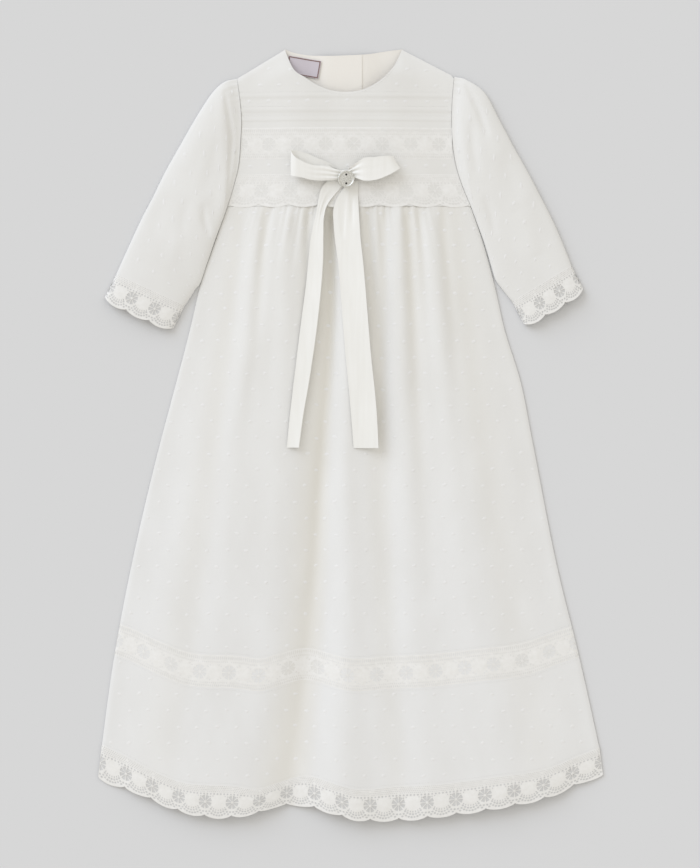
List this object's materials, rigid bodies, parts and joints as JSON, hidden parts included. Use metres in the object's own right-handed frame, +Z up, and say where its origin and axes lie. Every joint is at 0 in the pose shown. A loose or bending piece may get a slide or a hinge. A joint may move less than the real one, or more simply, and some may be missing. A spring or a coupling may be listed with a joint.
{
  "type": "christening gown",
  "caption": "Long-sleeved baby's christening gown laid flat: tucked yoke with lace and a ribbon bow, gathered skirt, lace insertion and scalloped lace at hem and cuffs.",
  "frame": {"origin": "middle of the gown's outline, on the surface that it lies on", "axes": "+Y towards the neck, +Z up through the front, +X to the right seen from above"},
  "size_m": [0.5053, 0.7707, 0.0189],
  "materials": {
    "cloth": "off-white cotton plumetis, matt",
    "lace": "ivory cotton lace, matt",
    "ribbon": "ivory satin ribbon, soft sheen",
    "label": "plain woven label",
    "button": "aged silver-grey metal",
    "back_button": "pearl"
  },
  "bodies": {
    "root": {"skirt_front": "cloth", "skirt_insertion_front": "lace", "skirt_hem_front": "cloth", "skirt_back": "cloth", "skirt_insertion_back": "lace", "skirt_hem_back": "cloth", "hem_lace_front": "lace", "hem_lace_back": "lace", "yoke_front": "cloth", "yoke_insertion": "lace", "yoke_lace": "lace", "yoke_back_left": "cloth", "yoke_back_right": "cloth", "back_button_1": "back_button", "back_button_2": "back_button", "back_button_3": "back_button", "back_button_4": "back_button", "neck_label": "label", "sleeve_left": "cloth", "sleeve_right": "cloth", "cuff_lace_left": "lace", "cuff_lace_right": "lace", "ribbon_tail_left": "ribbon", "ribbon_tail_right": "ribbon", "bow_loop_left": "ribbon", "bow_loop_right": "ribbon", "bow_knot": "ribbon", "medallion_button": "button"}
  },
  "joints": []
}
